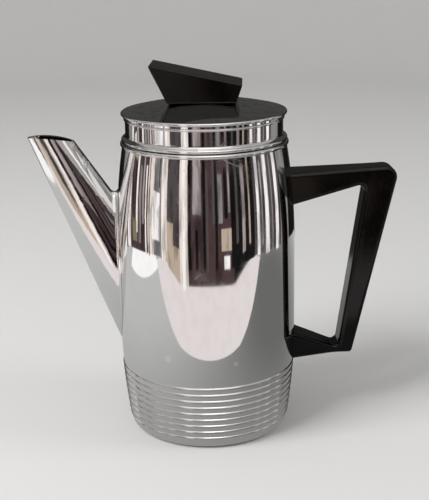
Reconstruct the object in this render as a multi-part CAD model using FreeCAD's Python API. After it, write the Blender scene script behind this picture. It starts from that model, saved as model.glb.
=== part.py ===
import FreeCAD
import Part
import math
import os

# Stovetop coffee percolator: a barrel-shaped chromed pot with a full-height tapered spout,
# an angular black handle and a lift-off lid with a wedge knob. A pump stem, basket and
# spreader stand loose inside it. Z is up, the origin is the middle of the base,
# the handle points along +X and the spout along -X. All sizes are in millimetres.

# Pot body
BELLY_RADIUS = 55.3
BELLY_LOW_Z = 68.0
BELLY_TOP_Z = 120.0
MOUTH_INSET = 5.2
RIM_Z = 182.3
FOOT_INSET = 5.5
BODY_WALL = 1.2
BASE_CORNER_RADIUS = 5.0
BASE_PLATE_INSET = 6.8
RIM_BEAD_RADIUS = 1.3
RING_COUNT = 9
RING_FACET_COUNT = 5
RING_FIRST_Z = 7.2
RING_PITCH = 4.25
RING_WIDTH = 1.7
RING_HEIGHT = 0.65

# Spout
SPOUT_REACH = 107.1
SPOUT_LIP_Z = 187.2
SPOUT_LIP_DROP = 2.9
SPOUT_MOUTH_LENGTH = 28.2
SPOUT_ROOT_Z = 56.0
SPOUT_CROTCH_Z = 147.7
SPOUT_WIDTH_RATIO = 0.52
SPOUT_LIP_SIDE_RISE = 1.4
SPOUT_WALL = 1.3
SPOUT_ROOT_FILLET = 2.5
SPOUT_SEAM = 0.1
STRAINER_HOLE_RADIUS = 2.2
STRAINER_ROWS = 7
STRAINER_COLUMNS = 3
STRAINER_PITCH = 6.5
STRAINER_ROW_PITCH = 9.0

# Handle, as seen from the side: arms, grip and corner roundings
HANDLE_TOP_Z = 162.4
HANDLE_TOP_RISE = 2.8
HANDLE_REACH = 120.3
HANDLE_BOTTOM_Z = 43.2
HANDLE_BOTTOM_REACH = 92.1
HANDLE_HEEL_LENGTH = 13.1
UPPER_ARM_DEPTH = 20.7
UPPER_ARM_INNER_RISE = 12.7
LOWER_ARM_BOTTOM_Z = 40.6
LOWER_ARM_DEPTH = 20.1
LOWER_ARM_INNER_DROP = 13.8
GRIP_LOW_DEPTH = 9.0
GRIP_TOP_DEPTH = 21.4
GRIP_THICKNESS = 17.0
ARM_FLARE_RATIO = 0.075
ARM_BEND_RADIUS = 40.0
HANDLE_KINK_RADIUS = 60.0
HANDLE_OUTER_CORNER = 7.0
HANDLE_SMALL_CORNER = 2.5
FINGER_CORNER = 3.5
HANDLE_EDGE_FILLET = 2.4

# Handle fixings, one per arm
UPPER_FIXING_Z = 153.6
LOWER_FIXING_Z = 49.2
HANDLE_INSERT_RADIUS = 3.4
HANDLE_INSERT_LENGTH = 11.0
HANDLE_SCREW_LENGTH = 9.0
SCREW_RADIUS = 2.0
SCREW_HEAD_RADIUS = 4.0
SCREW_HEAD_HEIGHT = 2.4
SCREW_SLOT_WIDTH = 1.0
SCREW_SLOT_DEPTH = 1.1
SCREW_CLEARANCE = 0.1
WASHER_RADIUS = 5.2
WASHER_THICKNESS = 1.2

# Lid
LID_SEAT_GAP = 0.3
LID_BEAD_RADIUS = 1.2
LID_BEAD_OVERHANG = 0.5
LID_PLUG_CLEARANCE = 0.8
LID_BAND_WALL = 0.9
LID_PLUG_DEPTH = 9.0
LID_FLARE_HEIGHT = 2.2
LID_BAND_HEIGHT = 15.7
LID_UPPER_BEAD_RADIUS = 0.8
LID_UPPER_BEAD_DROP = 2.3
COVER_WALL = 0.9
COVER_OVERHANG = 0.4
COVER_EDGE_RADIUS = 1.0
COVER_CROWN = 6.1
COVER_SEAT_WIDTH = 2.4

# Knob on the lid, leaning towards the spout
KNOB_DISH_GAP = 0.15
KNOB_SINK = 0.3
KNOB_TURN_ANGLE = -5.0
KNOB_HEIGHT_SPOUT_END = 23.2
KNOB_HEIGHT_HANDLE_END = 11.0
KNOB_TOP_TO_SPOUT = 32.6
KNOB_TOP_TO_HANDLE = 23.8
KNOB_BOTTOM_TO_SPOUT = 21.2
KNOB_BOTTOM_TO_HANDLE = 20.0
KNOB_THICKNESS = 30.0
KNOB_EDGE_FILLET = 1.0
KNOB_INSERT_RADIUS = 3.4
KNOB_INSERT_LENGTH = 8.0
KNOB_SCREW_LENGTH = 6.5

# Pump stem, foot and valve
PUMP_FLOOR_GAP = 0.2
FOOT_RIM_RADIUS = 31.0
FOOT_SHEET = 1.0
FOOT_RIM_HEIGHT = 3.0
VALVE_SEAT_Z = 7.0
VALVE_SEAT_BORE = 3.6
VALVE_CHAMBER_RADIUS = 8.0
VALVE_CHAMBER_HEIGHT = 6.0
VALVE_RADIUS = 6.5
VALVE_THICKNESS = 1.0
VALVE_REST_GAP = 0.2
FOOT_NECK_HEIGHT = 7.0
FOOT_NECK_WALL = 1.2
FOOT_NOTCH_COUNT = 6
FOOT_NOTCH_WIDTH = 7.0
STEM_RADIUS = 4.5
STEM_WALL = 0.9
STEM_TOP_Z = 188.0
STEM_FIT = 0.05
STOP_Z = 119.0
STOP_RADIUS = 7.5
STOP_THICKNESS = 2.0

# Coffee basket and spreader
BASKET_SEAT_GAP = 0.2
BASKET_RADIUS = 40.0
BASKET_HEIGHT = 46.0
BASKET_WALL = 0.8
BASKET_LEDGE = 3.0
SLEEVE_CLEARANCE = 0.4
SLEEVE_HEIGHT = 30.0
BASKET_HOLE_RADIUS = 1.3
BASKET_HOLE_RINGS = 3
BASKET_HOLE_FIRST_RADIUS = 13.0
BASKET_HOLE_RING_PITCH = 9.0
BASKET_HOLES_FIRST_RING = 10
SPREADER_SHEET = 0.9
SPREADER_CLEARANCE = 0.4
SPREADER_LIP = 5.0

V = FreeCAD.Vector
UP = V(0, 0, 1)
OUTWARD = V(1, 0, 0)
ORIGIN = V(0, 0, 0)
BARREL_POINTS = 13
TOUCHING = 0.01
FACING_RATIO = 0.9


def outline(*steps):
    """Closed face in the XZ plane. A step is a corner (x, z), or (middle, end) for an arc."""
    edges = []
    here = steps[0]
    for step in steps[1:] + (steps[0],):
        if isinstance(step[0], tuple):
            middle, end = step
            points = [V(x, 0, z) for x, z in (here, middle, end)]
            edges.append(Part.Arc(*points).toShape())
        else:
            end = step
            edges.append(Part.LineSegment(V(here[0], 0, here[1]), V(end[0], 0, end[1])).toShape())
        here = end
    return Part.Face(Part.Wire(edges))


def rounded_outline(corners):
    """Closed face in the XZ plane through corners (x, z, rounding). The first corner is sharp."""
    steps = [corners[0][:2]]
    for index in range(1, len(corners)):
        x, z, rounding = corners[index]
        if not rounding:
            steps.append((x, z))
            continue
        corner = V(x, 0, z)
        before = corners[index - 1]
        after = corners[(index + 1) % len(corners)]
        back = (V(before[0], 0, before[1]) - corner).normalize()
        ahead = (V(after[0], 0, after[1]) - corner).normalize()
        half_angle = back.getAngle(ahead) / 2
        start = corner + back * (rounding / math.tan(half_angle))
        end = corner + ahead * (rounding / math.tan(half_angle))
        middle = corner + (back + ahead).normalize() * (rounding / math.sin(half_angle) - rounding)
        steps.append((start.x, start.z))
        steps.append(((middle.x, middle.z), (end.x, end.z)))
    return outline(*steps)


def spun(face):
    return face.revolve(ORIGIN, UP, 360)


def slab(face, thickness):
    """Extrude an XZ outline evenly to both sides of the XZ plane."""
    return face.extrude(V(0, thickness, 0)).translated(V(0, -thickness / 2, 0))


def disc(radius, low_z, high_z):
    return Part.makeCylinder(radius, high_z - low_z, V(0, 0, low_z), UP)


def export(name, shape):
    shape = shape.removeSplitter()
    state = "valid" if shape.isValid() else "NOT VALID"
    print(name, state, len(shape.Solids), round(shape.Volume, 1))
    shape.exportStep("parts/" + name + ".step")


# Shape of the body wall: a straight belly with a long arc to the mouth and one to the foot
def sweep_radius(height, inset):
    return (height ** 2 + inset ** 2) / (2 * inset)


UPPER_SWEEP = sweep_radius(RIM_Z - BELLY_TOP_Z, MOUTH_INSET)
LOWER_SWEEP = sweep_radius(BELLY_LOW_Z, FOOT_INSET)
MOUTH_RADIUS = BELLY_RADIUS - MOUTH_INSET
MOUTH_BORE_RADIUS = MOUTH_RADIUS - BODY_WALL
RIM_TOP_Z = RIM_Z + RIM_BEAD_RADIUS
FLOOR_Z = BODY_WALL


def wall_radius(z):
    """Outside radius of the plain wall at a height."""
    if z > BELLY_TOP_Z:
        return BELLY_RADIUS - UPPER_SWEEP + math.sqrt(UPPER_SWEEP ** 2 - (z - BELLY_TOP_Z) ** 2)
    if z < BELLY_LOW_Z:
        return BELLY_RADIUS - LOWER_SWEEP + math.sqrt(LOWER_SWEEP ** 2 - (BELLY_LOW_Z - z) ** 2)
    return BELLY_RADIUS


def wall_arc(start_z, end_z, inset=0.0):
    middle_z = (start_z + end_z) / 2
    return ((wall_radius(middle_z) - inset, middle_z), (wall_radius(end_z) - inset, end_z))


def base_corner(inset):
    """Points of the rounded base corner: start on the base, middle, and end on the wall."""
    lean = math.asin((BELLY_LOW_Z - BASE_CORNER_RADIUS) / LOWER_SWEEP)
    end_z = BASE_CORNER_RADIUS * (1 - math.sin(lean))
    centre_r = wall_radius(end_z) - BASE_CORNER_RADIUS * math.cos(lean)
    radius = BASE_CORNER_RADIUS - inset
    points = []
    for angle in (-math.pi / 2, -(math.pi / 2 + lean) / 2, -lean):
        r = centre_r + radius * math.cos(angle)
        points.append((r, BASE_CORNER_RADIUS + radius * math.sin(angle)))
    return points


def wall_steps():
    """Outside of the pot from the middle of the base up to just below the rim bead."""
    start, middle, end = base_corner(0.0)
    steps = [(0.0, 0.0), start, (middle, end)]
    here = end[1]
    for index in range(RING_COUNT):
        z = RING_FIRST_Z + index * RING_PITCH
        low = z - RING_WIDTH / 2
        steps.append(wall_arc(here, low))
        for facet in range(1, RING_FACET_COUNT + 1):
            share = facet / RING_FACET_COUNT
            here = low + share * RING_WIDTH
            steps.append((wall_radius(here) + RING_HEIGHT * math.sin(math.pi * share), here))
    steps.append(wall_arc(here, BELLY_LOW_Z))
    steps.append((BELLY_RADIUS, BELLY_TOP_Z))
    steps.append(wall_arc(BELLY_TOP_Z, RIM_Z - RIM_BEAD_RADIUS))
    return steps


def filled_body():
    top_z = RIM_Z - RIM_BEAD_RADIUS
    return spun(outline(*wall_steps(), (0.0, top_z)))


def smooth_barrel(proud):
    """The wall without its rings as one smooth face, standing proud of the wall by a little."""
    low_z, top_z = BASE_CORNER_RADIUS, RIM_Z - RIM_BEAD_RADIUS
    points = []
    for index in range(BARREL_POINTS):
        z = low_z + (top_z - low_z) * index / (BARREL_POINTS - 1)
        points.append(V(wall_radius(z) + proud, 0, z))
    side = Part.BSplineCurve()
    side.interpolate(points)
    corners = [points[-1], V(0, 0, top_z), V(0, 0, low_z), points[0]]
    return spun(Part.Face(Part.Wire([side.toShape()] + Part.makePolygon(corners).Edges)))


def body_cavity():
    start, middle, end = base_corner(BODY_WALL)
    inner_wall = [start, (middle, end), wall_arc(end[1], BELLY_LOW_Z, BODY_WALL)]
    inner_wall += [(BELLY_RADIUS - BODY_WALL, BELLY_TOP_Z), wall_arc(BELLY_TOP_Z, RIM_Z, BODY_WALL)]
    return spun(outline((0.0, FLOOR_Z), *inner_wall, (0.0, RIM_Z)))


FILLED_BODY = filled_body()
CAVITY = body_cavity()


# Lines of the spout seen from the side
def front_x(z):
    """Outer line of the spout, from its root on the body to the lip."""
    root_x = -wall_radius(SPOUT_ROOT_Z)
    return root_x - (SPOUT_REACH + root_x) * (z - SPOUT_ROOT_Z) / (SPOUT_LIP_Z - SPOUT_ROOT_Z)


def back_x(z):
    """Inner line of the spout, from the crotch on the body to the back of the mouth."""
    crotch_x = -wall_radius(SPOUT_CROTCH_Z)
    lip_x = SPOUT_MOUTH_LENGTH - SPOUT_REACH
    rise = SPOUT_LIP_Z - SPOUT_LIP_DROP - SPOUT_CROTCH_Z
    return crotch_x + (lip_x - crotch_x) * (z - SPOUT_CROTCH_Z) / rise


def spout_cone(inset):
    """Slanted elliptical cone between the two lines, drawn in by an inset."""
    sections = []
    for z in (SPOUT_ROOT_Z - SPOUT_ROOT_FILLET, SPOUT_LIP_Z + SPOUT_ROOT_FILLET):
        half_length = (back_x(z) - front_x(z)) / 2
        centre = V((back_x(z) + front_x(z)) / 2, 0, z)
        ellipse = Part.Ellipse(centre, half_length - inset, SPOUT_WIDTH_RATIO * half_length - inset)
        sections.append(Part.Wire(ellipse.toShape()))
    return Part.makeLoft(sections, True, True)


def spout_mouth_cut():
    """Lying cylinder that leaves the lip dipped along its middle and higher at its sides."""
    half_width = SPOUT_WIDTH_RATIO * SPOUT_MOUTH_LENGTH / 2
    radius = (half_width ** 2 + SPOUT_LIP_SIDE_RISE ** 2) / (2 * SPOUT_LIP_SIDE_RISE)
    tip = V(-SPOUT_REACH, 0, SPOUT_LIP_Z)
    along = (V(SPOUT_MOUTH_LENGTH - SPOUT_REACH, 0, SPOUT_LIP_Z - SPOUT_LIP_DROP) - tip).normalize()
    raised = V(-along.z, 0, along.x) * radius
    start = tip - along * SPOUT_MOUTH_LENGTH / 2 + raised
    return Part.makeCylinder(radius, 2 * SPOUT_MOUTH_LENGTH, start, along)


def make_spout():
    cone = spout_cone(0.0).cut(spout_mouth_cut())
    joined = smooth_barrel(0.0).fuse(cone)
    seam = []
    for edge in joined.Edges:
        middle = edge.valueAt((edge.FirstParameter + edge.LastParameter) / 2)
        on_wall = abs(math.hypot(middle.x, middle.y) - wall_radius(middle.z)) < SPOUT_SEAM
        is_level = edge.BoundBox.ZLength < SPOUT_SEAM
        if on_wall and not is_level and middle.x < -BELLY_RADIUS / 2:
            seam.append(edge)
    joined = joined.makeFillet(SPOUT_ROOT_FILLET, seam)
    return joined.cut(smooth_barrel(SPOUT_SEAM)).cut(spout_cone(SPOUT_WALL))


# Places of the two handle fixings on the wall
FIXING_HEIGHTS = {"upper": UPPER_FIXING_Z, "lower": LOWER_FIXING_Z}


def washer_seat_x(z):
    return wall_radius(z) - BODY_WALL - WASHER_THICKNESS


def insert_blank(z):
    """Round brass blank from the axis of the pot out to the end of its pocket in the arm."""
    reach = wall_radius(z) + HANDLE_INSERT_LENGTH
    return Part.makeCylinder(HANDLE_INSERT_RADIUS, reach, V(0, 0, z), OUTWARD)


def make_base_plate():
    radius = BELLY_RADIUS - FOOT_INSET - BASE_PLATE_INSET
    return disc(radius, 0.0, FLOOR_Z)


def make_body_shell():
    bead_centre_r = MOUTH_BORE_RADIUS + RIM_BEAD_RADIUS
    bead_outer = ((bead_centre_r + RIM_BEAD_RADIUS, RIM_Z), (bead_centre_r, RIM_TOP_Z))
    diagonal = RIM_BEAD_RADIUS * math.sqrt(0.5)
    bead_inner = ((bead_centre_r - diagonal, RIM_Z + diagonal), (MOUTH_BORE_RADIUS, RIM_Z))
    filled = spun(outline(*wall_steps(), bead_outer, bead_inner, (0.0, RIM_Z)))
    shell = filled.cut(CAVITY).cut(make_base_plate())
    for z in FIXING_HEIGHTS.values():
        start = V(washer_seat_x(z), 0, z)
        hole = Part.makeCylinder(SCREW_RADIUS + SCREW_CLEARANCE, 2 * BELLY_RADIUS, start, OUTWARD)
        shell = shell.cut(hole)
    holes = []
    middle_z = (SPOUT_ROOT_Z + SPOUT_CROTCH_Z) / 2
    for row in range(STRAINER_ROWS):
        for column in range(STRAINER_COLUMNS):
            y = (column - (STRAINER_COLUMNS - 1) / 2) * STRAINER_PITCH
            z = middle_z + (row - (STRAINER_ROWS - 1) / 2) * STRAINER_ROW_PITCH
            start = V(-BELLY_RADIUS - BODY_WALL, y, z)
            holes.append(Part.makeCylinder(STRAINER_HOLE_RADIUS, BELLY_RADIUS, start, OUTWARD))
    return shell.cut(Part.makeCompound(holes))


def make_handle():
    hidden_x = MOUTH_BORE_RADIUS
    top_outer_z = HANDLE_TOP_Z + HANDLE_TOP_RISE
    upper_inner_z = HANDLE_TOP_Z - UPPER_ARM_DEPTH
    lower_inner_z = LOWER_ARM_BOTTOM_Z + LOWER_ARM_DEPTH
    low_inner = (HANDLE_BOTTOM_REACH - GRIP_LOW_DEPTH, lower_inner_z - LOWER_ARM_INNER_DROP)
    top_inner = (HANDLE_REACH - GRIP_TOP_DEPTH, upper_inner_z + UPPER_ARM_INNER_RISE)
    side = rounded_outline([
        (hidden_x, HANDLE_TOP_Z, 0),
        (HANDLE_REACH, top_outer_z, HANDLE_OUTER_CORNER),
        (HANDLE_BOTTOM_REACH, HANDLE_BOTTOM_Z, HANDLE_SMALL_CORNER),
        (HANDLE_BOTTOM_REACH - HANDLE_HEEL_LENGTH, HANDLE_BOTTOM_Z, HANDLE_KINK_RADIUS),
        (hidden_x, LOWER_ARM_BOTTOM_Z, 0),
        (hidden_x, lower_inner_z, 0),
        (*low_inner, FINGER_CORNER),
        (*top_inner, FINGER_CORNER),
        (hidden_x, upper_inner_z, 0),
    ])
    # The grip has flat sides. From its inner line the arms flare out towards the body.
    lean = (top_inner[0] - low_inner[0]) / (top_inner[1] - low_inner[1])
    bend_x = low_inner[0] - lean * low_inner[1]
    run = bend_x + HANDLE_REACH
    grip_y = GRIP_THICKNESS / 2
    flared_y = grip_y + ARM_FLARE_RATIO * run
    plan = rounded_outline([
        (bend_x - run, -flared_y, 0),
        (bend_x, -grip_y, ARM_BEND_RADIUS),
        (bend_x + run, -grip_y, 0),
        (bend_x + run, grip_y, 0),
        (bend_x, grip_y, ARM_BEND_RADIUS),
        (bend_x - run, flared_y, 0),
    ])
    height = 2 * HANDLE_TOP_Z
    sides = plan.rotated(ORIGIN, OUTWARD, 90).extrude(V(lean * height, 0, height))
    handle = slab(side, 4 * flared_y).common(sides)
    edges = []
    for edge in handle.Edges:
        facing = []
        for face in handle.ancestorsOfType(edge, Part.Face):
            facing.append(abs(face.normalAt(0, 0).y) > FACING_RATIO)
        if sum(facing) == 1 and edge.BoundBox.XMax > hidden_x + TOUCHING:
            edges.append(edge)
    handle = handle.makeFillet(HANDLE_EDGE_FILLET, edges)
    handle = handle.cut(FILLED_BODY)
    for z in FIXING_HEIGHTS.values():
        handle = handle.cut(insert_blank(z))
    return handle


def make_handle_insert(z):
    start = V(0, 0, z)
    bore = Part.makeCylinder(SCREW_RADIUS + SCREW_CLEARANCE, 2 * BELLY_RADIUS, start, OUTWARD)
    return insert_blank(z).cut(FILLED_BODY).cut(bore)


def slotted_screw(length):
    """Slotted pan-head screw along +Z with the seat of its head at the origin."""
    shank = disc(SCREW_RADIUS, 0, length)
    head = disc(SCREW_HEAD_RADIUS, -SCREW_HEAD_HEIGHT, 0)
    rim = [edge for edge in head.Edges if abs(edge.BoundBox.ZMax + SCREW_HEAD_HEIGHT) < TOUCHING]
    head = head.makeFillet(SCREW_HEAD_HEIGHT / 3, rim)
    slot_length = 3 * SCREW_HEAD_RADIUS
    corner = V(-slot_length / 2, -SCREW_SLOT_WIDTH / 2, -2 * SCREW_HEAD_HEIGHT)
    slot = Part.makeBox(slot_length, SCREW_SLOT_WIDTH, SCREW_HEAD_HEIGHT + SCREW_SLOT_DEPTH, corner)
    return shank.fuse(head.cut(slot))


def make_handle_screw(z):
    length = WASHER_THICKNESS + BODY_WALL + HANDLE_SCREW_LENGTH
    screw = slotted_screw(length)
    screw.Placement = FreeCAD.Placement(V(washer_seat_x(z), 0, z), FreeCAD.Rotation(UP, OUTWARD))
    return screw


def make_handle_washer(z):
    blank = Part.makeCylinder(WASHER_RADIUS, 2 * WASHER_RADIUS, V(washer_seat_x(z), 0, z), OUTWARD)
    start = V(0, 0, z)
    bore = Part.makeCylinder(SCREW_RADIUS + SCREW_CLEARANCE, 2 * BELLY_RADIUS, start, OUTWARD)
    return blank.common(CAVITY).cut(bore)


# Heights and radii of the lid, taken from the rim and mouth of the pot
LID_BEAD_REACH = MOUTH_RADIUS + LID_BEAD_OVERHANG
LID_BAND_RADIUS = MOUTH_BORE_RADIUS - LID_PLUG_CLEARANCE
COVER_REACH = MOUTH_RADIUS + COVER_OVERHANG
LID_BOTTOM_Z = RIM_TOP_Z + LID_SEAT_GAP
BAND_TOP_Z = LID_BOTTOM_Z + LID_BAND_HEIGHT
COVER_EDGE_TOP_Z = BAND_TOP_Z + 2 * COVER_EDGE_RADIUS
CROWN_Z = COVER_EDGE_TOP_Z + COVER_CROWN
COVER_EDGE_R = COVER_REACH - COVER_EDGE_RADIUS
DOME_RADIUS = sweep_radius(COVER_EDGE_R, COVER_CROWN)


def dome_drop(r):
    """How far the lid's dome lies below its crown at a radius."""
    return DOME_RADIUS - math.sqrt(DOME_RADIUS ** 2 - r ** 2)


def make_lid_band():
    inner_r = LID_BAND_RADIUS - LID_BAND_WALL
    bead_z = LID_BOTTOM_Z + LID_BEAD_RADIUS
    bead_top_z = bead_z + LID_BEAD_RADIUS
    bead_r = LID_BEAD_REACH - LID_BEAD_RADIUS
    flare_top_z = bead_top_z + LID_FLARE_HEIGHT
    flare_middle = (LID_BAND_RADIUS + (bead_r - LID_BAND_RADIUS) / 4, bead_top_z + LID_FLARE_HEIGHT / 3)
    upper_z = BAND_TOP_Z - LID_UPPER_BEAD_DROP
    upper_top = (LID_BAND_RADIUS, upper_z + LID_UPPER_BEAD_RADIUS)
    return spun(outline(
        (inner_r, LID_BOTTOM_Z - LID_PLUG_DEPTH),
        (LID_BAND_RADIUS, LID_BOTTOM_Z - LID_PLUG_DEPTH),
        (LID_BAND_RADIUS, LID_BOTTOM_Z),
        (bead_r, LID_BOTTOM_Z),
        ((LID_BEAD_REACH, bead_z), (bead_r, bead_top_z)),
        (flare_middle, (LID_BAND_RADIUS, flare_top_z)),
        (LID_BAND_RADIUS, upper_z - LID_UPPER_BEAD_RADIUS),
        ((LID_BAND_RADIUS + LID_UPPER_BEAD_RADIUS, upper_z), upper_top),
        (LID_BAND_RADIUS, BAND_TOP_Z),
        (inner_r, BAND_TOP_Z),
    ))


def make_lid_cover():
    seat_r = COVER_EDGE_R - COVER_SEAT_WIDTH
    edge_z = BAND_TOP_Z + COVER_EDGE_RADIUS
    half_r = COVER_EDGE_R / 2
    cover = spun(outline(
        (0.0, CROWN_Z),
        ((half_r, CROWN_Z - dome_drop(half_r)), (COVER_EDGE_R, COVER_EDGE_TOP_Z)),
        ((COVER_REACH, edge_z), (COVER_EDGE_R, BAND_TOP_Z)),
        (seat_r, BAND_TOP_Z),
        (seat_r, CROWN_Z - dome_drop(seat_r) - COVER_WALL),
        ((half_r, CROWN_Z - dome_drop(half_r) - COVER_WALL), (0.0, CROWN_Z - COVER_WALL)),
    ))
    return cover.cut(disc(SCREW_RADIUS + SCREW_CLEARANCE, BAND_TOP_Z, CROWN_Z + COVER_WALL))


# Heights of the knob and its fixing, built up from the crown of the lid. The flat underside
# of the knob lies a little below the crown and is dished to clear the dome.
KNOB_SEAT_Z = CROWN_Z - KNOB_SINK
KNOB_DISH_Z = CROWN_Z + KNOB_DISH_GAP
KNOB_WASHER_TOP_Z = CROWN_Z - COVER_WALL - dome_drop(WASHER_RADIUS)
KNOB_SCREW_SEAT_Z = KNOB_WASHER_TOP_Z - WASHER_THICKNESS


def make_lid_knob():
    side = outline(
        (-KNOB_BOTTOM_TO_SPOUT, KNOB_SEAT_Z),
        (KNOB_BOTTOM_TO_HANDLE, KNOB_SEAT_Z),
        (KNOB_TOP_TO_HANDLE, KNOB_SEAT_Z + KNOB_HEIGHT_HANDLE_END),
        (-KNOB_TOP_TO_SPOUT, KNOB_SEAT_Z + KNOB_HEIGHT_SPOUT_END),
    )
    knob = slab(side, KNOB_THICKNESS)
    knob = knob.makeFillet(KNOB_EDGE_FILLET, knob.Edges)
    knob = knob.cut(Part.makeSphere(DOME_RADIUS + KNOB_DISH_GAP, V(0, 0, CROWN_Z - DOME_RADIUS)))
    knob = knob.cut(disc(KNOB_INSERT_RADIUS, CROWN_Z, KNOB_DISH_Z + KNOB_INSERT_LENGTH))
    return knob.rotated(ORIGIN, UP, KNOB_TURN_ANGLE)


def make_knob_insert():
    blank = disc(KNOB_INSERT_RADIUS, KNOB_DISH_Z, KNOB_DISH_Z + KNOB_INSERT_LENGTH)
    return blank.cut(disc(SCREW_RADIUS + SCREW_CLEARANCE, CROWN_Z, CROWN_Z + 2 * KNOB_INSERT_LENGTH))


def make_knob_screw():
    reach = KNOB_DISH_Z + KNOB_SCREW_LENGTH - KNOB_SCREW_SEAT_Z
    return slotted_screw(reach).translated(V(0, 0, KNOB_SCREW_SEAT_Z))


def make_knob_washer():
    blank = disc(WASHER_RADIUS, KNOB_SCREW_SEAT_Z, KNOB_WASHER_TOP_Z)
    return blank.cut(disc(SCREW_RADIUS + SCREW_CLEARANCE, KNOB_SCREW_SEAT_Z, CROWN_Z))


# Heights of the pump, built up from the floor of the pot
PUMP_BASE_Z = FLOOR_Z + PUMP_FLOOR_GAP
CHAMBER_FLOOR_Z = VALVE_SEAT_Z + FOOT_SHEET
STEM_BOTTOM_Z = CHAMBER_FLOOR_Z + VALVE_CHAMBER_HEIGHT
NECK_TOP_Z = STEM_BOTTOM_Z + FOOT_NECK_HEIGHT
NECK_BORE_RADIUS = STEM_RADIUS + STEM_FIT
VALVE_Z = CHAMBER_FLOOR_Z + VALVE_REST_GAP
VALVE_TRAVEL = STEM_BOTTOM_Z - VALVE_Z - VALVE_THICKNESS


def make_pump_foot():
    chamber_outer = VALVE_CHAMBER_RADIUS + FOOT_SHEET
    neck_outer = NECK_BORE_RADIUS + FOOT_NECK_WALL
    roof_z = STEM_BOTTOM_Z + FOOT_SHEET
    rim_top_z = PUMP_BASE_Z + FOOT_RIM_HEIGHT
    foot = spun(outline(
        (NECK_BORE_RADIUS, NECK_TOP_Z),
        (neck_outer, NECK_TOP_Z),
        (neck_outer, roof_z),
        (chamber_outer, roof_z),
        (FOOT_RIM_RADIUS, rim_top_z),
        (FOOT_RIM_RADIUS, PUMP_BASE_Z),
        (FOOT_RIM_RADIUS - FOOT_SHEET, PUMP_BASE_Z),
        (FOOT_RIM_RADIUS - FOOT_SHEET, rim_top_z - FOOT_SHEET / 2),
        (chamber_outer, roof_z - 1.5 * FOOT_SHEET),
        (chamber_outer, VALVE_SEAT_Z),
        (VALVE_SEAT_BORE, VALVE_SEAT_Z),
        (VALVE_SEAT_BORE, CHAMBER_FLOOR_Z),
        (VALVE_CHAMBER_RADIUS, CHAMBER_FLOOR_Z),
        (VALVE_CHAMBER_RADIUS, STEM_BOTTOM_Z),
        (NECK_BORE_RADIUS, STEM_BOTTOM_Z),
    ))
    notch = Part.makeBox(2 * FOOT_SHEET, FOOT_NOTCH_WIDTH, FOOT_RIM_HEIGHT / 2)
    notch.translate(V(FOOT_RIM_RADIUS - 1.5 * FOOT_SHEET, -FOOT_NOTCH_WIDTH / 2, PUMP_BASE_Z))
    for index in range(FOOT_NOTCH_COUNT):
        foot = foot.cut(notch.rotated(ORIGIN, UP, index * 360 / FOOT_NOTCH_COUNT))
    return foot


def make_pump_stem():
    tube = disc(STEM_RADIUS, STEM_BOTTOM_Z, STEM_TOP_Z)
    return tube.cut(disc(STEM_RADIUS - STEM_WALL, STEM_BOTTOM_Z, STEM_TOP_Z))


def make_stem_stop():
    collar = disc(STOP_RADIUS, STOP_Z, STOP_Z + STOP_THICKNESS)
    return collar.cut(disc(NECK_BORE_RADIUS, STOP_Z, STEM_TOP_Z))


def make_pump_valve():
    return disc(VALVE_RADIUS, VALVE_Z, VALVE_Z + VALVE_THICKNESS)


# Heights of the basket and spreader, built up from the stop on the stem
BASKET_BOTTOM_Z = STOP_Z + STOP_THICKNESS + BASKET_SEAT_GAP
BASKET_TOP_Z = BASKET_BOTTOM_Z + BASKET_HEIGHT
SLEEVE_BORE_RADIUS = STEM_RADIUS + SLEEVE_CLEARANCE


def drain_holes(low_z, high_z):
    holes = []
    for ring in range(BASKET_HOLE_RINGS):
        radius = BASKET_HOLE_FIRST_RADIUS + ring * BASKET_HOLE_RING_PITCH
        count = round(BASKET_HOLES_FIRST_RING * radius / BASKET_HOLE_FIRST_RADIUS)
        for index in range(count):
            angle = 2 * math.pi * index / count
            place = V(radius * math.cos(angle), radius * math.sin(angle), 0)
            holes.append(disc(BASKET_HOLE_RADIUS, low_z, high_z).translated(place))
    return Part.makeCompound(holes)


def make_basket_cup():
    floor_z = BASKET_BOTTOM_Z + BASKET_WALL
    return spun(outline(
        (BASKET_RADIUS - BASKET_LEDGE, BASKET_BOTTOM_Z),
        (BASKET_RADIUS, BASKET_BOTTOM_Z),
        (BASKET_RADIUS, BASKET_TOP_Z),
        (BASKET_RADIUS - BASKET_WALL, BASKET_TOP_Z),
        (BASKET_RADIUS - BASKET_WALL, floor_z),
        (BASKET_RADIUS - BASKET_LEDGE, floor_z),
    ))


def make_basket_strainer():
    floor_z = BASKET_BOTTOM_Z + BASKET_WALL
    plate = disc(BASKET_RADIUS - BASKET_LEDGE, BASKET_BOTTOM_Z, floor_z)
    plate = plate.cut(disc(SLEEVE_BORE_RADIUS + BASKET_WALL, BASKET_BOTTOM_Z, floor_z))
    return plate.cut(drain_holes(BASKET_BOTTOM_Z - BASKET_WALL, floor_z + BASKET_WALL))


def make_basket_sleeve():
    top_z = BASKET_BOTTOM_Z + BASKET_WALL + SLEEVE_HEIGHT
    tube = disc(SLEEVE_BORE_RADIUS + BASKET_WALL, BASKET_BOTTOM_Z, top_z)
    return tube.cut(disc(SLEEVE_BORE_RADIUS, BASKET_BOTTOM_Z, top_z))


def make_spreader():
    low_z = BASKET_TOP_Z + BASKET_SEAT_GAP
    top_z = low_z + SPREADER_SHEET
    lip_inner = BASKET_RADIUS + SPREADER_CLEARANCE
    spreader = spun(outline(
        (SLEEVE_BORE_RADIUS, low_z),
        (lip_inner, low_z),
        (lip_inner, low_z - SPREADER_LIP),
        (lip_inner + SPREADER_SHEET, low_z - SPREADER_LIP),
        (lip_inner + SPREADER_SHEET, top_z),
        (SLEEVE_BORE_RADIUS, top_z),
    ))
    return spreader.cut(drain_holes(low_z - SPREADER_SHEET, top_z + SPREADER_SHEET))


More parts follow.
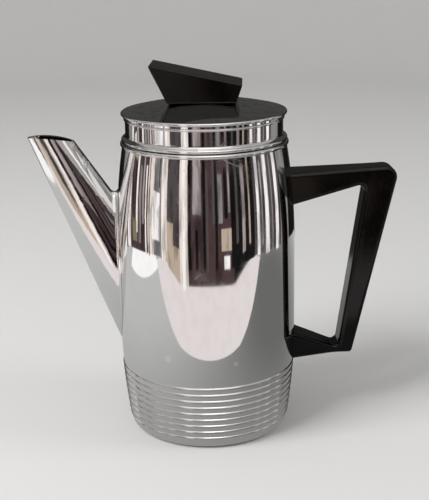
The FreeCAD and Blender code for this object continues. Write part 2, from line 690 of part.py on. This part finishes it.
os.makedirs("parts", exist_ok=True)
export("body_shell", make_body_shell())
export("base_plate", make_base_plate())
export("spout", make_spout())
export("handle", make_handle())
for arm, height in FIXING_HEIGHTS.items():
    export("handle_insert_" + arm, make_handle_insert(height))
    export("handle_screw_" + arm, make_handle_screw(height))
    export("handle_washer_" + arm, make_handle_washer(height))
export("lid_band", make_lid_band())
export("lid_cover", make_lid_cover())
export("lid_knob", make_lid_knob())
export("knob_insert", make_knob_insert())
export("knob_screw", make_knob_screw())
export("knob_washer", make_knob_washer())
export("pump_foot", make_pump_foot())
export("pump_stem", make_pump_stem())
export("stem_stop", make_stem_stop())
export("pump_valve", make_pump_valve())
export("basket_cup", make_basket_cup())
export("basket_strainer", make_basket_strainer())
export("basket_sleeve", make_basket_sleeve())
export("spreader", make_spreader())
print("valve travel", round(VALVE_TRAVEL, 2), "crown", round(CROWN_Z, 2))
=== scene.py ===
import math

import bpy
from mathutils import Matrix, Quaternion, Vector

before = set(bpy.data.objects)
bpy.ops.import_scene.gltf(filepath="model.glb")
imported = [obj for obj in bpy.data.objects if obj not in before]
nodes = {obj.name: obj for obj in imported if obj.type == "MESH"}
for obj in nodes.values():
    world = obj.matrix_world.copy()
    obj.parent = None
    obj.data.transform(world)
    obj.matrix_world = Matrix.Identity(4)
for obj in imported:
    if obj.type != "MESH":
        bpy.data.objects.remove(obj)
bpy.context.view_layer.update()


# Pot body: a barrel drawn from sheet metal, plated with mirror chrome and closed by a pressed-in base.
# Years of wiping have left hairline scratches, a bloom of finger marks and cloudy patches.
# Two spots of the plating have gone dull, and so has the ringed part, where a cloth doesn't reach well.
class Wire:
    """One socket of a finish. Sums, differences and products of it add Math nodes."""

    def __init__(self, tree, socket):
        self.tree = tree
        self.socket = socket

    @staticmethod
    def node(tree, kind, settings, inputs, output=0):
        """Any node, from its type, its settings and the values or links of its sockets."""
        node = tree.nodes.new(kind)
        for name, value in settings.items():
            setattr(node, name, value)
        for name, value in inputs.items():
            if isinstance(value, Wire):
                tree.links.new(value.socket, node.inputs[name])
            else:
                node.inputs[name].default_value = value
        return Wire(tree, node.outputs[output])

    def math(self, operation, first, second):
        return Wire.node(self.tree, "ShaderNodeMath", {"operation": operation}, {0: first, 1: second})

    def __add__(self, other):
        return self.math("ADD", self, other)

    def __radd__(self, other):
        return self.math("ADD", other, self)

    def __sub__(self, other):
        return self.math("SUBTRACT", self, other)

    def __rsub__(self, other):
        return self.math("SUBTRACT", other, self)

    def __mul__(self, other):
        return self.math("MULTIPLY", self, other)

    def __rmul__(self, other):
        return self.math("MULTIPLY", other, self)


def new_finish(name, **constants):
    """A material with its constant sockets set. Returns it, its shader and the place of a point at rest."""
    material = bpy.data.materials.new(name)
    material.use_nodes = True
    tree = material.node_tree
    shader = tree.nodes["Principled BSDF"]
    for socket, value in constants.items():
        shader.inputs[socket.replace("_", " ")].default_value = value
    place = Wire.node(tree, "ShaderNodeTexCoord", {}, {}, "Object")
    return material, shader, place


def stretched(place, scale):
    """Place that is scaled along each axis, so that a small scale draws marks out that way."""
    return Wire.node(place.tree, "ShaderNodeMapping", {}, {"Vector": place, "Scale": scale})


def between(value, low, high):
    """Smooth step of a value from one level to another."""
    inputs = {"Value": value, "From Min": low, "From Max": high}
    settings = {"interpolation_type": "SMOOTHSTEP"}
    return Wire.node(value.tree, "ShaderNodeMapRange", settings, inputs)


CLOUD_DETAIL = 4.0
CLOUD_ROUGHNESS = 0.55


def cloud(place, scale, levels, detail=CLOUD_DETAIL):
    """Soft patches from 0 to 1, between two levels of a noise."""
    inputs = {"Vector": place, "Scale": scale, "Detail": detail, "Roughness": CLOUD_ROUGHNESS}
    noise = Wire.node(place.tree, "ShaderNodeTexNoise", {}, inputs, "Fac")
    return between(noise, *levels)


def hairlines(place, scale, width):
    """Thin crossing lines, 1 on a line, from the borders of stretched random cells."""
    inputs = {"Vector": place, "Scale": scale}
    border = Wire.node(place.tree, "ShaderNodeTexVoronoi", {"feature": "DISTANCE_TO_EDGE"}, inputs)
    return 1 - between(border, 0.0, width)


def distance(place, point):
    """How far a place is from a point."""
    settings = {"operation": "DISTANCE"}
    return Wire.node(place.tree, "ShaderNodeVectorMath", settings, {0: place, 1: point}, "Value")


MIX_FACTOR = 0
MIX_PLAIN_COLOUR = 6
MIX_MARKED_COLOUR = 7
MIX_COLOUR_RESULT = 2


def tinted(factor, plain, marked):
    """Colour that goes from one to the other with a factor."""
    inputs = {MIX_FACTOR: factor, MIX_PLAIN_COLOUR: plain, MIX_MARKED_COLOUR: marked}
    return Wire.node(factor.tree, "ShaderNodeMix", {"data_type": "RGBA"}, inputs, MIX_COLOUR_RESULT)


def feed(shader, **wires):
    """Links what changes over the surface to sockets of its shader."""
    for socket, wire in wires.items():
        wire.tree.links.new(wire.socket, shader.inputs[socket.replace("_", " ")])


def dress(material, slot, *names):
    """Gives pieces a material. The slot is not used."""
    for name in names:
        node = nodes[name]
        node.data.materials.clear()
        node.data.materials.append(material)


CHROME = (0.80, 0.795, 0.79, 1.0)
CHROME_HAZE = (0.66, 0.645, 0.63, 1.0)
CHROME_POLISH = 0.035
BLOOM_SCALE = 38.0
BLOOM_LEVELS = (0.48, 0.72)
BLOOM_HAZE = 0.12
BLOOM_DULL = 0.07
WIPED_STRETCH = (1.0, 1.0, 4.0)
WIPED_SCALE = 20.0
WIPED_LEVELS = (0.5, 0.62)
STEEP_STRETCH = (1.0, 1.0, 0.12)
STEEP_SCALE = 160.0
STEEP_WIDTH = 0.012
STEEP_SHARE = 0.7
LEVEL_STRETCH = (0.2, 0.2, 1.0)
LEVEL_SCALE = 120.0
LEVEL_WIDTH = 0.010
SCRATCH_DULL = 0.16
CLOUDY_SCALE = 130.0
CLOUDY_LEVELS = (0.70, 0.78)
CLOUDY_HAZE = 0.6
CLOUDY_DULL = 0.22
GROOVES_TOP_Z = 0.0422
GROOVES_EDGE = 0.003
GROOVE_DULL = 0.13
SPOT_DULL = 0.12
SPOT_STAIN = 0.12
SPOT_CORE = 0.35
# Each spot has the x, y and z of its middle, and its radius.
PLATING_SPOTS = ((-0.0265, -0.0485, 0.0598, 0.0030), (0.0140, -0.0533, 0.0570, 0.0020))


def chrome_finish(name, spots=(), grooved=False):
    """Mirror plate with scratches, finger marks and cloudy patches, and with any dull spots and grooves."""
    material, shader, place = new_finish(name, Metallic=1.0)
    bloom = cloud(place, BLOOM_SCALE, BLOOM_LEVELS)
    wiped = cloud(stretched(place, WIPED_STRETCH), WIPED_SCALE, WIPED_LEVELS)
    steep = hairlines(stretched(place, STEEP_STRETCH), STEEP_SCALE, STEEP_WIDTH) * wiped
    level = hairlines(stretched(place, LEVEL_STRETCH), LEVEL_SCALE, LEVEL_WIDTH) * bloom
    scratches = steep * STEEP_SHARE + level
    cloudy = cloud(place, CLOUDY_SCALE, CLOUDY_LEVELS)
    roughness = CHROME_POLISH + bloom * BLOOM_DULL + scratches * SCRATCH_DULL + cloudy * CLOUDY_DULL
    metal = 1.0
    for x, y, z, radius in spots:
        away = distance(place, (x, y, z))
        spot = 1 - between(away, radius * SPOT_CORE, radius)
        roughness = roughness + SPOT_DULL * spot
        metal = metal - SPOT_STAIN * spot
    if spots:
        feed(shader, Metallic=metal)
    if grooved:
        height = Wire.node(place.tree, "ShaderNodeSeparateXYZ", {}, {0: place}, "Z")
        above = between(height, GROOVES_TOP_Z, GROOVES_TOP_Z + GROOVES_EDGE)
        roughness = roughness + GROOVE_DULL * (1 - above)
    feed(
        shader,
        Base_Color=tinted(cloudy * CLOUDY_HAZE + bloom * BLOOM_HAZE, CHROME, CHROME_HAZE),
        Roughness=roughness,
    )
    return material


body_chrome = chrome_finish("body_chrome", PLATING_SPOTS, grooved=True)
dress(body_chrome, "chrome_body", "body_shell", "base_plate")


# Spout: a tapered oval tube of the same plated sheet, soldered to the barrel over a field of holes.
# It shares the polish of the body and has no seam on its outside.
spout_chrome = chrome_finish("spout_chrome")
dress(spout_chrome, "chrome_body", "spout")


# Handle: one black phenolic moulding with two arms and a grip, clamped to the body by two screws.
# The moulding skin is glossy but hazed by hands, and browned a little with age.
PHENOLIC = (0.0022, 0.0018, 0.0017, 1.0)
PHENOLIC_WORN = (0.0085, 0.0060, 0.0052, 1.0)
PHENOLIC_IOR = 1.5
PHENOLIC_SPECULAR = 0.27
PHENOLIC_GLOSS = 0.07
WORN_SCALE = 26.0
WORN_LEVELS = (0.42, 0.72)
WORN_TINT = 0.6
WORN_DULL = 0.07
SMEAR_STRETCH = (1.0, 1.0, 0.35)
SMEAR_SCALE = 70.0
SMEAR_LEVELS = (0.5, 0.75)
SMEAR_DULL = 0.06
SPECK_SCALE = 520.0
SPECK_LEVELS = (0.70, 0.76)
SPECK_DETAIL = 1.0
SPECK_TINT = 0.3
SPECK_DULL = 0.2
GRAIN_SCALE = 900.0
GRAIN_LEVELS = (0.3, 0.7)
GRAIN_DETAIL = 2.0
GRAIN_DEPTH = 0.00004
GRAIN_STRENGTH = 0.25


def bumped(height, depth, strength):
    """Normal of a surface that a height makes uneven."""
    inputs = {"Height": height, "Distance": depth, "Strength": strength}
    return Wire.node(height.tree, "ShaderNodeBump", {}, inputs)


def phenolic_finish(name):
    """Black moulding with brown worn patches, smears of hands and pale specks of filler."""
    material, shader, place = new_finish(name, IOR=PHENOLIC_IOR, Specular_IOR_Level=PHENOLIC_SPECULAR)
    worn = cloud(place, WORN_SCALE, WORN_LEVELS)
    smears = cloud(stretched(place, SMEAR_STRETCH), SMEAR_SCALE, SMEAR_LEVELS)
    specks = cloud(place, SPECK_SCALE, SPECK_LEVELS, SPECK_DETAIL)
    grain = cloud(place, GRAIN_SCALE, GRAIN_LEVELS, GRAIN_DETAIL)
    feed(
        shader,
        Base_Color=tinted(worn * WORN_TINT + specks * SPECK_TINT, PHENOLIC, PHENOLIC_WORN),
        Roughness=PHENOLIC_GLOSS + worn * WORN_DULL + smears * SMEAR_DULL + specks * SPECK_DULL,
        Normal=bumped(grain, GRAIN_DEPTH, GRAIN_STRENGTH),
    )
    return material


black_phenolic = phenolic_finish("black_phenolic")
dress(black_phenolic, "black_phenolic", "handle")


# Handle fixings: turned brass nuts moulded into the arms, plated slotted screws through the wall
# and red fibre washers that seal the holes from inside.
BRASS = (0.62, 0.44, 0.17, 1.0)
BRASS_TARNISH = (0.36, 0.22, 0.08, 1.0)
BRASS_POLISH = 0.28
BRASS_TURNING = (1.0, 0.1, 0.1)
SCREW_STEEL = (0.56, 0.555, 0.55, 1.0)
SCREW_STAIN = (0.30, 0.26, 0.22, 1.0)
SCREW_POLISH = 0.25
SCREW_TURNING = (0.1, 1.0, 1.0)
STAIN_SCALE = 90.0
STAIN_LEVELS = (0.45, 0.75)
STAIN_TINT = 0.7
STAIN_DULL = 0.15
TURNING_SCALE = 600.0
TURNING_LEVELS = (0.35, 0.65)
TURNING_DETAIL = 2.0
TURNING_DULL = 0.08
TURNING_DEPTH = 0.00003
TURNING_STRENGTH = 0.3
FIBRE = (0.20, 0.055, 0.035, 1.0)
FIBRE_DARK = (0.10, 0.030, 0.020, 1.0)
FIBRE_IOR = 1.45
FIBRE_ROUGHNESS = 0.7
MOTTLE_SCALE = 420.0
MOTTLE_LEVELS = (0.35, 0.7)
MOTTLE_DULL = 0.15
MOTTLE_DEPTH = 0.00008
MOTTLE_STRENGTH = 0.5


def metal_finish(name, clean, stained, polish, turning):
    """Bare metal with a stain in patches and the fine marks that a tool has left."""
    material, shader, place = new_finish(name, Metallic=1.0)
    stain = cloud(place, STAIN_SCALE, STAIN_LEVELS)
    marks = cloud(stretched(place, turning), TURNING_SCALE, TURNING_LEVELS, TURNING_DETAIL)
    feed(
        shader,
        Base_Color=tinted(stain * STAIN_TINT, clean, stained),
        Roughness=polish + stain * STAIN_DULL + marks * TURNING_DULL,
        Normal=bumped(marks, TURNING_DEPTH, TURNING_STRENGTH),
    )
    return material


def fibre_finish(name):
    """Pressed fibre, mottled and rough."""
    material, shader, place = new_finish(name, IOR=FIBRE_IOR)
    mottle = cloud(place, MOTTLE_SCALE, MOTTLE_LEVELS)
    feed(
        shader,
        Base_Color=tinted(mottle, FIBRE, FIBRE_DARK),
        Roughness=FIBRE_ROUGHNESS + mottle * MOTTLE_DULL,
        Normal=bumped(mottle, MOTTLE_DEPTH, MOTTLE_STRENGTH),
    )
    return material


brass = metal_finish("turned_brass", BRASS, BRASS_TARNISH, BRASS_POLISH, BRASS_TURNING)
screw_steel = metal_finish("plated_steel", SCREW_STEEL, SCREW_STAIN, SCREW_POLISH, SCREW_TURNING)
red_fibre = fibre_finish("red_fibre")
for arm in ("upper", "lower"):
    dress(brass, "brass_insert", "handle_insert_" + arm)
    dress(screw_steel, "steel_screw", "handle_screw_" + arm)
    dress(red_fibre, "sealing_washer", "handle_washer_" + arm)


# Lid: a spun collar with a plug, a flared bead that rests on the rim and a domed cover rolled over it.
# It has the mirror plate of the body, with the same fine scratches and finger marks.
lid_chrome = chrome_finish("lid_chrome")
dress(lid_chrome, "chrome_lid", "lid_band", "lid_cover")


# Knob: a solid phenolic wedge, screwed down on the crown of the cover from below.
# It is the same moulding compound as the handle, with sharper edges, and the same kinds of fixings hold it.
knob_phenolic = phenolic_finish("knob_phenolic")
dress(knob_phenolic, "black_phenolic", "lid_knob")
dress(brass, "brass_insert", "knob_insert")
dress(screw_steel, "steel_screw", "knob_screw")
dress(red_fibre, "sealing_washer", "knob_washer")


# Pump, basket and spreader: plain spun and pierced aluminium, greyed by boiling water.
# The valve is a loose stainless disc in the foot.
ALUMINIUM = (0.60, 0.605, 0.61, 1.0)
ALUMINIUM_GREYED = (0.42, 0.40, 0.37, 1.0)
ALUMINIUM_POLISH = 0.34
ALUMINIUM_SPINNING = (0.1, 0.1, 1.0)
VALVE_STEEL = (0.55, 0.55, 0.545, 1.0)
VALVE_STAIN = (0.33, 0.29, 0.24, 1.0)
VALVE_POLISH = 0.3
VALVE_ROLLING = (1.0, 0.1, 1.0)
spun_aluminium = metal_finish(
    "spun_aluminium", ALUMINIUM, ALUMINIUM_GREYED, ALUMINIUM_POLISH, ALUMINIUM_SPINNING
)
valve_steel = metal_finish("valve_steel", VALVE_STEEL, VALVE_STAIN, VALVE_POLISH, VALVE_ROLLING)
dress(spun_aluminium, "aluminium_works", "pump_foot", "pump_stem", "stem_stop")
dress(spun_aluminium, "aluminium_works", "basket_cup", "basket_strainer", "basket_sleeve", "spreader")
dress(valve_steel, "steel_valve", "pump_valve")


# Floor and backdrop: one pale dished sheet that lies under the pot and rises all round it in a wide curve.
# It is only the setting and isn't part of the pot.
SHEET_FLAT_RADIUS = 1.6
SHEET_BEND_RADIUS = 0.8
SHEET_TOP_Z = 2.2
SHEET_BELOW_BASE = 0.0003
SHEET_SIDES = 96
BEND_STEPS = 20
PAPER = (0.68, 0.675, 0.665, 1.0)
PAPER_SHADE = (0.6, 0.6, 0.6, 1.0)
PAPER_ROUGHNESS = 1.0
PAPER_SCALE = 3.0
PAPER_LEVELS = (0.3, 0.7)
PAPER_TINT = 0.03


def turned_sheet(name, profile):
    """Sheet made by turning a line of (radius, z) points round the axis of the pot."""
    points = []
    for radius, z in profile:
        for side in range(SHEET_SIDES):
            angle = 2 * math.pi * side / SHEET_SIDES
            points.append((radius * math.cos(angle), radius * math.sin(angle), z))
    faces = [tuple(range(SHEET_SIDES))]
    for row in range(len(profile) - 1):
        for side in range(SHEET_SIDES):
            here = row * SHEET_SIDES + side
            beside = row * SHEET_SIDES + (side + 1) % SHEET_SIDES
            faces.append((beside, here, here + SHEET_SIDES, beside + SHEET_SIDES))
    mesh = bpy.data.meshes.new(name)
    mesh.from_pydata(points, [], faces)
    mesh.shade_smooth()
    sheet = bpy.data.objects.new(name, mesh)
    bpy.context.scene.collection.objects.link(sheet)
    return sheet


sheet_profile = []
for step in range(BEND_STEPS + 1):
    angle = math.pi / 2 * step / BEND_STEPS
    radius = SHEET_FLAT_RADIUS + SHEET_BEND_RADIUS * math.sin(angle)
    sheet_profile.append((radius, SHEET_BEND_RADIUS * (1 - math.cos(angle)) - SHEET_BELOW_BASE))
sheet_profile.append((SHEET_FLAT_RADIUS + SHEET_BEND_RADIUS, SHEET_TOP_Z))
pale_sheet = turned_sheet("pale_sheet", sheet_profile)
pale_paper, paper_shader, paper_place = new_finish(
    "pale_paper", Roughness=PAPER_ROUGHNESS, Specular_IOR_Level=0.0
)
paper_tone = cloud(paper_place, PAPER_SCALE, PAPER_LEVELS)
feed(paper_shader, Base_Color=tinted(paper_tone * PAPER_TINT, PAPER, PAPER_SHADE))
pale_sheet.data.materials.append(pale_paper)


# Cards: painted boards in two curved layers round the pot, a grey card with a painted shadow of the pot and
# white sheets on the floor, white sheets and a light panel high above and in front of it, and dark boards
# behind it.
# Only polished surfaces show them, so that the chrome has something bright and something dark to mirror.
BOARD_NEAR_RADIUS = 0.37
BOARD_SIDE_RADIUS = 0.48
BOARD_NEAR_BEARING = 30.0
BOARD_SIDE_BEARING = 62.0
BOARD_LAYER_GAP = 0.012
BACK_LAYER = 0
FRONT_LAYER = 1
BOARD_BEND_STEP = 4.0
BOARD_PATCHY = 0.55
PATCH_STRETCH = (1.0, 1.0, 0.6)
PATCH_SCALE = 24.0
PATCH_LEVELS = (0.46, 0.62)
PATCH_SHADE = 0.2
SLATE = (0.100, 0.086, 0.088)
UMBER = (0.085, 0.052, 0.054)
SOOT = (0.012, 0.011, 0.011)
STONE = (0.30, 0.29, 0.285)
SAND = (0.60, 0.48, 0.38)
CREAM = (0.98, 0.86, 0.79)
CHALK = (1.15, 1.09, 1.08)
ROSE = (0.46, 0.40, 0.40)
OLIVE = (0.26, 0.22, 0.13)
FLOOR_Z = 0.0
LOW = 0.02
TOP = 0.235
WALL_START = -165
# Each board of the back layer has the bearing in degrees where it ends and the next begins, and its paint.
WALL_BOARDS = (
    (-136, SOOT), (-124, STONE), (-109, CHALK), (-78, UMBER), (-69, CREAM), (-58, STONE), (-50, CREAM),
    (-34, SLATE), (-24, CREAM), (31, UMBER), (58, SOOT), (104, SLATE), (124, STONE), (150, SOOT),
)
# Each board of the front layer has the bearings of its ends, the heights of its edges, and its paint.
FRONT_BOARDS = (
    (-119, -116, 0.00, TOP, SLATE), (-105, -99, 0.17, TOP, SAND), (-105, -96, 0.02, 0.06, OLIVE),
    (-98, -95, 0.04, TOP, CHALK), (-93, -89, 0.02, 0.17, STONE), (-87, -84, 0.06, TOP, ROSE),
    (-82, -80, 0.00, 0.18, CHALK), (-76, -75, 0.00, TOP, SOOT), (-71, -60, 0.04, 0.14, CHALK),
    (-62, -60, 0.15, TOP, SLATE), (-57, -54, 0.00, TOP, CHALK), (-50, -42, 0.00, 0.09, SAND),
    (-42, -34, 0.00, 0.05, SAND), (-31, -27, 0.00, TOP, CHALK), (-24, -20, LOW, TOP, SOOT),
    (-18, -8, 0.12, TOP, ROSE), (-15, -12, LOW, 0.09, SOOT), (-6, -3, LOW, TOP, SOOT),
    (-2, 0, LOW, 0.20, SLATE), (5, 8, 0.10, TOP, SLATE), (8, 11, LOW, TOP, SOOT),
    (12, 17, 0.10, 0.19, STONE), (15, 27, 0.05, 0.09, SAND), (18, 25, 0.02, 0.04, CHALK),
    (19, 23, 0.11, 0.20, SOOT), (24, 26, 0.12, TOP, ROSE), (27, 31, LOW, TOP, SOOT),
    (33, 36, 0.06, TOP, SLATE), (41, 45, 0.03, 0.20, ROSE), (50, 52, 0.04, TOP, SAND),
    (62, 66, 0.00, TOP, CHALK), (69, 71, 0.02, 0.19, ROSE), (75, 81, 0.00, TOP, CHALK),
    (86, 88, 0.00, TOP, STONE), (93, 99, 0.00, TOP, CHALK),
)
WHITE_SHEET = (0.91, 0.845, 0.835)
BRIGHT_SHEET = (1.18, 1.15, 1.16)
SHEET_PATCHY = 0.05
FRONT_SHEET_X = (-0.41, 0.41)
FRONT_SHEET_Y = (-0.185, -0.52)
SIDE_SHEET_X = (-0.66, -0.37)
SIDE_SHEET_Y = (-0.19, 0.13)
CARD_ABOVE_FLOOR = 0.0008
# Grey card: darker paint for the painted shadow of the pot round the shade centre, lighter paint away from
# it.
GREY_SHADED = (0.17, 0.17, 0.166)
GREY_LIT = (0.60, 0.60, 0.59)
GREY_X = (-1.1, 1.1)
GREY_Y = (0.42, -1.0)
GREY_ABOVE_FLOOR = 0.0004
SHADE_CENTRE = (0.30, -0.05, 0.0)
SHADE_RADIUS = 0.08
SHADE_EDGE = 0.54
OVERHEAD_SHEET = (1.05, 1.0, 0.985)
OVERHEAD_X = (-0.9, 0.9)
OVERHEAD_Y = (-1.1, 0.3)
OVERHEAD_Z = 1.7
TALL_LOW_Z = 0.55
PANEL = (3.0, 2.85, 2.8)
PANEL_X = (-0.25, 0.45)
PANEL_Y = (-1.05, -0.75)
PANEL_Z = 1.69
BACK_BOARD = (0.065, 0.064, 0.061)
BACK_PATCHY = 0.3
BACK_X = (-1.6, 1.6)
BACK_Y = 1.42
BACK_HEIGHT = 2.3
BACK_FLOOR_X = (-0.9, 0.9)
BACK_FLOOR_Y = 0.42
EDGE_BOARD = (0.06, 0.058, 0.056)
EDGE_FEET = ((0.62, 0.32), (0.40, 0.80))
EDGE_HEIGHT = 0.6
BLACK = (0.0, 0.0, 0.0, 1.0)


def painted(colour, patchy):
    """Paint of one colour, darker in patches."""

    def paint(place):
        shaded = tuple(PATCH_SHADE * share for share in colour)
        patches = cloud(stretched(place, PATCH_STRETCH), PATCH_SCALE, PATCH_LEVELS)
        return tinted(patches * patchy, (*colour, 1.0), (*shaded, 1.0))

    return paint


def lit_floor(place):
    """Grey paint with a painted shadow of the pot on its handle side, lighter away from there."""
    lit = between(distance(place, SHADE_CENTRE), SHADE_RADIUS, SHADE_RADIUS + SHADE_EDGE)
    return tinted(lit, (*GREY_SHADED, 1.0), (*GREY_LIT, 1.0))


def card(name, rungs, paint):
    """Board between pairs of points, seen only in reflections."""
    points = [point for rung in rungs for point in rung]
    faces = [(2 * step, 2 * step + 2, 2 * step + 3, 2 * step + 1) for step in range(len(rungs) - 1)]
    mesh = bpy.data.meshes.new(name)
    mesh.from_pydata(points, [], faces)
    board = bpy.data.objects.new(name, mesh)
    bpy.context.scene.collection.objects.link(board)
    board.visible_camera = False
    board.visible_diffuse = False
    board.visible_shadow = False
    material, shader, place = new_finish(
        name, Base_Color=BLACK, Specular_IOR_Level=0.0, Emission_Strength=1.0
    )
    feed(shader, Emission_Color=paint(place))
    board.data.materials.append(material)


def upright_card(name, feet, low_z, high_z, paint):
    """Board that stands over a line of (x, y) points."""
    card(name, [((*foot, low_z), (*foot, high_z)) for foot in feet], paint)


def lying_card(name, x_range, y_range, z, paint):
    """Sheet that lies level."""
    first_y, last_y = y_range
    card(name, [((x, first_y, z), (x, last_y, z)) for x in x_range], paint)


def board_foot(bearing, layer):
    """Foot of a board at a bearing, which counts from straight in front of the pot towards the handle.
    The boards stand nearest straight in front, and each layer before the one behind it."""
    share = (abs(bearing) - BOARD_NEAR_BEARING) / (BOARD_SIDE_BEARING - BOARD_NEAR_BEARING)
    share = min(max(share, 0.0), 1.0)
    radius = BOARD_NEAR_RADIUS + (BOARD_SIDE_RADIUS - BOARD_NEAR_RADIUS) * share - layer * BOARD_LAYER_GAP
    angle = math.radians(bearing)
    return (radius * math.sin(angle), -radius * math.cos(angle))


def stand_board(name, start, end, low_z, high_z, colour, layer):
    """Curved board between two bearings, in the back layer or in the one before it."""
    count = math.ceil((end - start) / BOARD_BEND_STEP)
    feet = [board_foot(start + (end - start) * step / count, layer) for step in range(count + 1)]
    upright_card(name, feet, low_z, high_z, painted(colour, BOARD_PATCHY))


start = WALL_START
for index, (end, colour) in enumerate(WALL_BOARDS):
    stand_board("wall_board_" + str(index), start, end, FLOOR_Z, TOP, colour, BACK_LAYER)
    start = end
for index, (start, end, low_z, high_z, colour) in enumerate(FRONT_BOARDS):
    stand_board("front_board_" + str(index), start, end, low_z, high_z, colour, FRONT_LAYER)
lying_card("grey_card", GREY_X, GREY_Y, GREY_ABOVE_FLOOR, lit_floor)
white_paint = painted(WHITE_SHEET, SHEET_PATCHY)
lying_card("white_sheet", FRONT_SHEET_X, FRONT_SHEET_Y, CARD_ABOVE_FLOOR, white_paint)
bright_paint = painted(BRIGHT_SHEET, SHEET_PATCHY)
lying_card("side_sheet", SIDE_SHEET_X, SIDE_SHEET_Y, CARD_ABOVE_FLOOR, bright_paint)
overhead_paint = painted(OVERHEAD_SHEET, SHEET_PATCHY)
lying_card("overhead_sheet", OVERHEAD_X, OVERHEAD_Y, OVERHEAD_Z, overhead_paint)
tall_feet = [(x, OVERHEAD_Y[0]) for x in OVERHEAD_X]
upright_card("tall_sheet", tall_feet, TALL_LOW_Z, OVERHEAD_Z, overhead_paint)
lying_card("light_panel", PANEL_X, PANEL_Y, PANEL_Z, painted(PANEL, SHEET_PATCHY))
back_paint = painted(BACK_BOARD, BACK_PATCHY)
upright_card("back_board", [(x, BACK_Y) for x in BACK_X], FLOOR_Z, BACK_HEIGHT, back_paint)
lying_card("back_floor", BACK_FLOOR_X, (BACK_FLOOR_Y, BACK_Y), CARD_ABOVE_FLOOR, back_paint)
edge_paint = painted(EDGE_BOARD, BACK_PATCHY)
for side in (-1, 1):
    feet = [(side * x, y) for x, y in EDGE_FEET]
    upright_card("edge_board_" + str(side), feet, FLOOR_Z, EDGE_HEIGHT, edge_paint)


# Light: an even pale surround and two soft boxes, the stronger one to the left of the camera.
# Together they light a white thing to about white. Polished surfaces show the cards, not the boxes.
SURROUND = (0.80, 0.80, 0.80, 1.0)
SURROUND_LEVEL = 0.66
LEFT_BOX_PLACE = (-1.1, -0.7, 1.3)
LEFT_BOX_SIZE = (0.9, 0.9)
LEFT_BOX_WATTS = 27.0
RIGHT_BOX_PLACE = (1.3, -0.3, 1.0)
RIGHT_BOX_SIZE = (0.6, 0.9)
RIGHT_BOX_WATTS = 5.0
BOX_TARGET = (0.0, 0.0, 0.1)
world = bpy.data.worlds.new("surround")
bpy.context.scene.world = world
world.use_nodes = True
background = world.node_tree.nodes["Background"]
background.inputs["Color"].default_value = SURROUND
background.inputs["Strength"].default_value = SURROUND_LEVEL


def soft_box(name, place, size, watts):
    """Lamp with a wide face, turned towards the lower half of the pot."""
    lamp = bpy.data.lights.new(name, "AREA")
    lamp.shape = "RECTANGLE"
    lamp.size, lamp.size_y = size
    lamp.energy = watts
    box = bpy.data.objects.new(name, lamp)
    bpy.context.scene.collection.objects.link(box)
    box.visible_glossy = False
    box.location = place
    box.rotation_mode = "QUATERNION"
    box.rotation_quaternion = (Vector(BOX_TARGET) - Vector(place)).to_track_quat("-Z", "Y")


soft_box("left_box", LEFT_BOX_PLACE, LEFT_BOX_SIZE, LEFT_BOX_WATTS)
soft_box("right_box", RIGHT_BOX_PLACE, RIGHT_BOX_SIZE, RIGHT_BOX_WATTS)


# Camera: where the photograph was taken from, with its lens and its small tilt.
# They were found by fitting the rims, rings, base and sides of the pot to the photograph.
CAMERA_PLACE = Vector((-0.0290, -0.6506, 0.3077))
CAMERA_LOOK = Vector((0.0501, 0.9566, -0.2870))
CAMERA_TILT = math.radians(-0.95)
FOCAL_PIXELS = 1079.6
IMAGE_HEIGHT = 500
SENSOR = 36.0
camera = bpy.data.objects.new("camera", bpy.data.cameras.new("camera"))
bpy.context.scene.collection.objects.link(camera)
camera.data.sensor_width = SENSOR
camera.data.lens = FOCAL_PIXELS * SENSOR / IMAGE_HEIGHT
camera.location = CAMERA_PLACE
camera.rotation_mode = "QUATERNION"
camera.rotation_quaternion = CAMERA_LOOK.to_track_quat("-Z", "Y") @ Quaternion((0, 0, 1), CAMERA_TILT)
bpy.context.scene.camera = camera
bpy.context.scene.view_settings.view_transform = "Standard"
